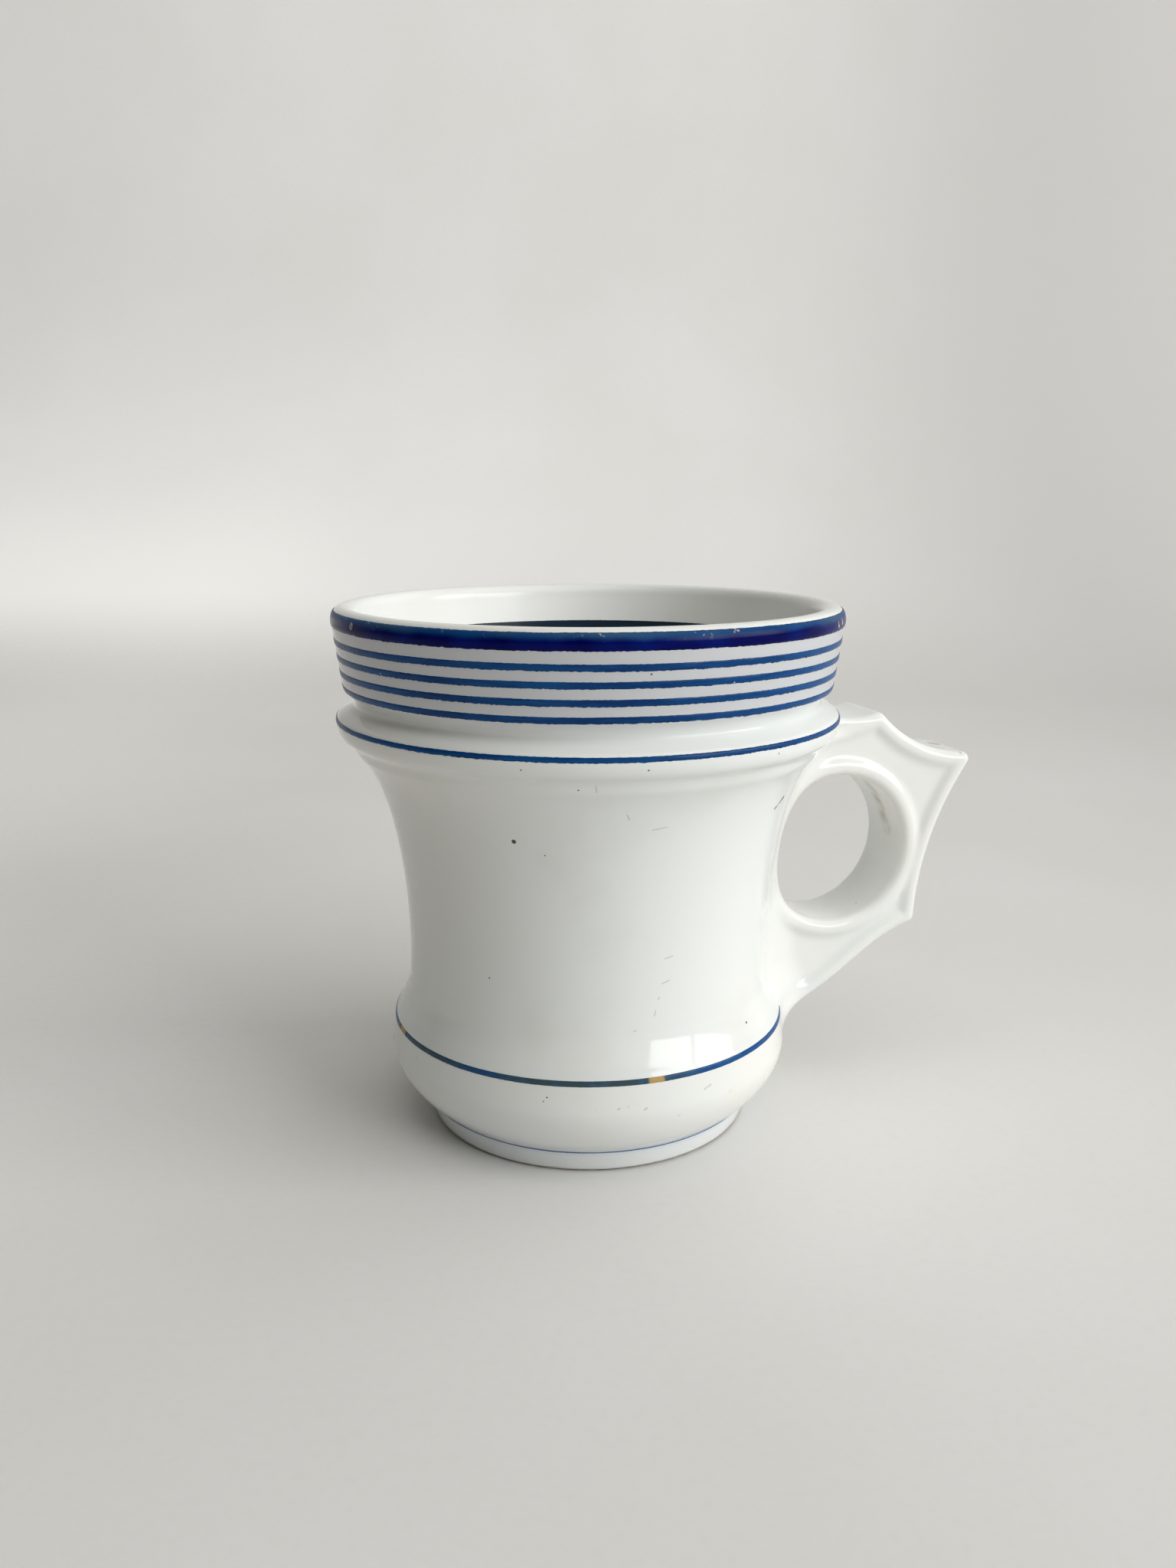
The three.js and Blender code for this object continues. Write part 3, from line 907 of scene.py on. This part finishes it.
def porcelain_glaze():
    """Grey-white hard porcelain under a clear glaze, marks of use, and a bare foot darker at its bottom
    edge.
    """
    finish = Finish("porcelain_glaze")
    cloud = finish.noise(22.0)
    hollow = (1 - finish.radius.ramp(*HOLLOW_EDGE)) * finish.height.ramp(GROOVE, GROOVE + 1)
    flecks = finish.specks(120.0, size=0.030, share=0.12) * finish.noise(30.0, detail=2.0).ramp(0.45, 0.6)
    grit = finish.noise(900.0).ramp(0.42, 0.62)
    brown = brown_marks(finish, flecks, grit)
    dark = dark_marks(finish, grit)
    stretches = zip(HOLE_STAIN, HOLE_STAIN[1:])
    stain = strongest([finish.streak(on_handle(*a), on_handle(*b), **STAIN_LOOK) for a, b in stretches])
    stain = stain * finish.noise(300.0, detail=4.0).ramp(0.3, 0.65)
    tone = fired_white(finish, cloud, hollow)
    tone = finish.mixed(brown, tone, DIRT_BROWN)
    tone = finish.mixed(stain * 0.6, tone, STAIN_BROWN)
    tone = finish.mixed(dark, tone, IRON_BLACK)

    # The bare foot darkens towards its bottom edge
    ground = finish.noise(420.0, detail=4.0)
    bare = 1 - (finish.height - ground * 0.55).ramp(0.05, 0.3)
    clay = finish.mixed(ground.ramp(0.35, 0.65), DARK_FOOT_EDGE, BARE_CLAY)
    finish.feed("Base Color", finish.mixed(bare, tone, clay))

    finish.feed("Roughness", GLAZE_ROUGHNESS + cloud * 0.05 + brown * 0.2 + bare * 0.5 + hollow * 0.16)
    turning = finish.noise(230.0, detail=2.0, place=finish.stretched(WHEEL_STRETCH))
    wave = finish.noise(55.0, detail=2.0) + turning * 0.35
    pits = strongest([dark, flecks]) * 0.25 + bare * ground * 0.6
    finish.bump(GLAZE_BUMP, wave - pits)
    finish.fix("Specular IOR Level", GLAZE_GLOSS)
    return finish.material


def brushed_enamel(name, deep, pale):
    """Blue enamel drawn on with a turning brush: paler where it ran thin, with a few pinholes."""
    finish = Finish(name)
    load = finish.noise(45.0, detail=2.0)
    stroke = finish.noise(900.0, place=finish.stretched(BRUSH_STRETCH))
    thin = load.ramp(0.3, 0.72) * 0.6 + stroke.ramp(0.4, 0.75) * 0.4
    tone = finish.mixed(thin, deep, pale)
    pinholes = finish.specks(420.0, size=0.07, share=0.1)
    finish.feed("Base Color", finish.mixed(pinholes * 0.7, tone, PINHOLE_WHITE))
    finish.feed("Roughness", ENAMEL_ROUGHNESS + stroke * 0.2)
    finish.bump(ENAMEL_BUMP, stroke + pinholes)
    finish.fix("Specular IOR Level", ENAMEL_GLOSS)
    return finish.material


def rim_enamel():
    """The dark rim band: thick navy low down, rubbed to a paler blue where lips touch it, and chipped."""
    finish = Finish("rim_enamel")
    low, high = (corner[2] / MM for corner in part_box("rim_band"))
    patch = finish.noise(150.0, detail=4.0)
    ragged_height = finish.height + patch * 0.9 - 0.45
    upper = ragged_height.ramp(low + (high - low) * 0.5, low + (high - low) * 0.95)
    navy = finish.mixed(patch.ramp(0.35, 0.7), *RIM_NAVY)
    rubbed = finish.mixed(finish.noise(60.0).ramp(0.35, 0.65), *RIM_RUBBED)
    tone = finish.mixed(upper, navy, rubbed)
    grit = finish.noise(1500.0, detail=2.0).ramp(0.62, 0.7) * finish.noise(110.0).ramp(0.5, 0.62)
    specks = finish.specks(330.0, size=0.13, share=0.16)
    crumbs = finish.noise(800.0).ramp(0.35, 0.5)
    chips = [finish.spot(on_body(*place), **RIM_CHIP_LOOK) * crumbs for place in RIM_CHIPS]
    worn = strongest([grit * upper * 0.75, specks * upper * 0.9, *chips])
    finish.feed("Base Color", finish.mixed(worn, tone, RIM_WORN))
    finish.feed("Roughness", ENAMEL_ROUGHNESS + upper * 0.18 + worn * 0.3)
    finish.bump(RIM_BUMP, patch - worn)
    finish.fix("Specular IOR Level", BAND_GLOSS)
    return finish.material


def belly_enamel():
    """The line on the ledge: blue turning to a greenish grey, rubbed through to ochre in places."""
    finish = Finish("belly_enamel")
    greyed = finish.noise(38.0).ramp(0.38, 0.54) * (1 - finish.angle.ramp(*BELLY_GREYED_TO))
    tone = finish.mixed(greyed, BELLY_BLUE, BELLY_GREY)
    stroke = finish.noise(700.0)
    tone = finish.mixed(stroke.ramp(0.4, 0.8) * 0.4, tone, BELLY_THIN)
    turns = [(finish.angle - angle).maths("ABSOLUTE") for angle in BELLY_LINE_BARE]
    ragged_turns = [turn + stroke * BARE_HALF_TURN * 0.5 for turn in turns]
    bare = strongest([1 - turn.ramp(BARE_HALF_TURN, BARE_HALF_TURN * 1.5) for turn in ragged_turns])
    finish.feed("Base Color", finish.mixed(bare, tone, BELLY_OCHRE))
    finish.feed("Roughness", BELLY_LINE_ROUGHNESS + bare * 0.3)
    finish.fix("Specular IOR Level", ENAMEL_GLOSS)
    return finish.material


def foot_enamel():
    """The fine line in the crease of the foot, half drowned in the glaze."""
    finish = Finish("foot_enamel")
    change = finish.noise(60.0, detail=4.0)
    finish.feed("Base Color", finish.mixed(change.ramp(0.35, 0.65), *FOOT_BLUE))
    finish.fix("Roughness", ENAMEL_ROUGHNESS)
    return finish.material


# Pieces

def place_piece(piece, node):
    """Fixes a finished piece to the body of the frame in place of its solid."""
    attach(piece, "root")
    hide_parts(node)


glaze = porcelain_glaze()
place_piece(turned_body(glaze), "cup_body")
place_piece(cast_handle(glaze), "handle")

COLLAR_LINES = ("collar_line_1", "collar_line_2", "collar_line_3", "collar_line_4", "shoulder_line")
blue_lines = line_tree(brushed_enamel("line_enamel", *LINE_BLUE))
for seed, node in enumerate(COLLAR_LINES):
    place_piece(painted_line(node, blue_lines, outside_radius, seed), node)

# The inner line's enamel is navy darkened with painted shade
inner_lines = line_tree(brushed_enamel("inner_shaded_enamel", *INNER_BLUE_AND_SHADE))
inner_line = painted_line("inner_line", inner_lines, inside_radius, seed=11, ragged=0.6)
place_piece(inner_line, "inner_line")
belly_lines = line_tree(belly_enamel())
belly_line = painted_line("belly_line", belly_lines, outside_radius, seed=12, share=1.1, ragged=0.3)
place_piece(belly_line, "belly_line")
foot_lines = line_tree(foot_enamel())
foot_line = painted_line("foot_line", foot_lines, outside_radius, seed=13, share=0.6, ragged=0.3)
place_piece(foot_line, "foot_line")
rim_bands = line_tree(rim_enamel())
rim_band = painted_line("rim_band", rim_bands, outside_radius, seed=14, ragged=1.2, thickness=BAND_THICKNESS)
place_piece(rim_band, "rim_band")


# Stage, light and camera. Lengths are in metres, and right, away and up are as the camera sees them
AWAY = Matrix.Rotation(-HANDLE_AWAY, 3, "Z")
RIGHT = tuple(AWAY @ Vector((1, 0, 0)))
SWEEP_DEPTH = 0.42
SWEEP_BEND = 0.3
SWEEP_RISE = 1.6
SWEEP_FRONT = -1.6
SWEEP_HALF = 2.5
BEND_STEPS = 24

# The paper's colours, how it shades across the picture, and the glow of its wall
PAPER_TONES = ((0.735, 0.725, 0.71, 1), (0.765, 0.755, 0.745, 1))
PAPER_FIBRE = (0.64, 0.63, 0.61, 1)
PAPER_PALE = (0.90, 0.89, 0.87, 1)
PAPER_DIM = (0.60, 0.59, 0.58, 1)
PAPER_ROUGHNESS = 0.9
PALE_SIDE = (-0.26, -0.08)
PALE_HEIGHT = (0.03, 0.12)
DIM_SIDE = (0.06, 0.3)
WALL_GLOW = 0.2
GLOW_COLOUR = (1.0, 0.995, 0.985, 1)
GLOW_START = (0.0, 0.04)
GLOW_HALVED = (0.05, 0.25)
GLOW_SIDE = (-0.25, 0.3)
BLACK = (0, 0, 0, 1)

# Two window panes beside the camera, a ceiling and an even room
PANE_TURNS = {"near_pane": math.radians(50), "far_pane": math.radians(78)}
PANE_DISTANCE = 2.0
PANE_UP = 0.7
PANE_SIZE = (0.92, 0.76)
PANE_POWER = 16.8
PANE_COLOUR = (0.985, 1.0, 0.99)
CEILING_PLACE = (0.3, -0.3, 1.25)
CEILING_SIZE = (1.4, 1.4)
CEILING_POWER = 8.2
CEILING_COLOUR = (1.0, 0.99, 0.97)
ROOM_COLOUR = (1.0, 0.97, 0.84, 1)
ROOM_STRENGTH = 0.115


def seen_from_camera(right, away, up):
    """A point given from the cup's foot as the camera sees it, in the frame."""
    return AWAY @ Vector((right, away, up)) + Vector((AXIS_X, 0, 0))


def sweep_paper():
    """Pale studio paper. To the eye and in reflections it shades to the right, and its wall glows."""
    finish = Finish("studio_paper")
    rays = add_node(finish.tree, "ShaderNodeLightPath", {}, {}, "Is Camera Ray")
    seen = strongest([rays, rays.other("Is Glossy Ray"), rays.other("Is Transmission Ray")])
    right = finish.place.vector("DOT_PRODUCT", RIGHT, 1)
    up = finish.height * MM
    pale = (1 - right.ramp(*PALE_SIDE)) * (1 - up.ramp(*PALE_HEIGHT))
    tone = finish.mixed(finish.noise(9.0).ramp(0.3, 0.7), *PAPER_TONES)
    tone = finish.mixed(seen * pale, tone, PAPER_PALE)
    tone = finish.mixed(seen * right.ramp(*DIM_SIDE), tone, PAPER_DIM)
    fibre = finish.noise(650.0, detail=2.0)
    finish.feed("Base Color", finish.mixed(fibre.ramp(0.4, 0.8) * 0.12, tone, PAPER_FIBRE))
    glow = seen * up.ramp(*GLOW_START) * (1 - up.ramp(*GLOW_HALVED) / 2) * (1 - right.ramp(*GLOW_SIDE))
    finish.feed("Emission Color", finish.mixed(glow, BLACK, GLOW_COLOUR))
    finish.fix("Emission Strength", WALL_GLOW)
    finish.fix("Roughness", PAPER_ROUGHNESS)
    return finish.material


def backdrop():
    """A floor that bends up into a wall."""
    section = [(SWEEP_FRONT, 0.0), (SWEEP_DEPTH, 0.0)]
    for i in range(1, BEND_STEPS + 1):
        turn = i / BEND_STEPS * math.pi / 2
        section.append((SWEEP_DEPTH + SWEEP_BEND * math.sin(turn), SWEEP_BEND * (1 - math.cos(turn))))
    section.append((SWEEP_DEPTH + SWEEP_BEND, SWEEP_RISE))
    vertices = [seen_from_camera(side * SWEEP_HALF, away, up) for away, up in section for side in (-1, 1)]
    faces = [(2 * i, 2 * i + 1, 2 * i + 3, 2 * i + 2) for i in range(len(section) - 1)]
    mesh = bpy.data.meshes.new("studio_sweep")
    mesh.from_pydata(vertices, [], faces)
    mesh.materials.append(sweep_paper())
    mesh.shade_smooth()
    sweep = bpy.data.objects.new("studio_sweep", mesh)
    bpy.context.scene.collection.objects.link(sweep)
    return sweep


def softbox(name, place, size, power, colour):
    """A rectangular lamp that looks at the middle of the cup."""
    data = bpy.data.lights.new(name, "AREA")
    data.shape = "RECTANGLE"
    data.size, data.size_y = size
    data.energy = power
    data.color = colour
    lamp = bpy.data.objects.new(name, data)
    lamp.location = seen_from_camera(*place)
    aim = seen_from_camera(0, 0, CUP_HEIGHT * MM / 2) - lamp.location
    lamp.rotation_euler = aim.to_track_quat("-Z", "Y").to_euler()
    bpy.context.scene.collection.objects.link(lamp)


def room(colour, strength):
    """Even light from all around."""
    world = bpy.data.worlds.new("room")
    world.use_nodes = True
    background = world.node_tree.nodes["Background"]
    background.inputs["Color"].default_value = colour
    background.inputs["Strength"].default_value = strength
    bpy.context.scene.world = world


def camera():
    """The photograph's camera, worked out from the cup's ellipses."""
    data = bpy.data.cameras.new("photo_view")
    data.sensor_fit = "AUTO"
    data.sensor_width = SENSOR_MM
    data.lens = FOCAL_PIXELS / PHOTO_HEIGHT * SENSOR_MM
    data.shift_y = CENTRE_DROP_PIXELS / PHOTO_HEIGHT
    data.clip_start = CAMERA_NEAREST
    eye = bpy.data.objects.new("photo_view", data)
    eye.location = seen_from_camera(0, -CAMERA_DISTANCE * MM, CAMERA_HEIGHT * MM)
    eye.rotation_euler = (math.pi / 2 - CAMERA_PITCH, 0, -HANDLE_AWAY)
    bpy.context.scene.collection.objects.link(eye)
    bpy.context.scene.camera = eye


backdrop()
for pane, turn in PANE_TURNS.items():
    place = (PANE_DISTANCE * math.sin(turn), -PANE_DISTANCE * math.cos(turn), PANE_UP)
    softbox(pane, place, PANE_SIZE, PANE_POWER, PANE_COLOUR)
softbox("ceiling", CEILING_PLACE, CEILING_SIZE, CEILING_POWER, CEILING_COLOUR)
room(ROOM_COLOUR, ROOM_STRENGTH)
bpy.context.scene.view_settings.view_transform = "Standard"
camera()
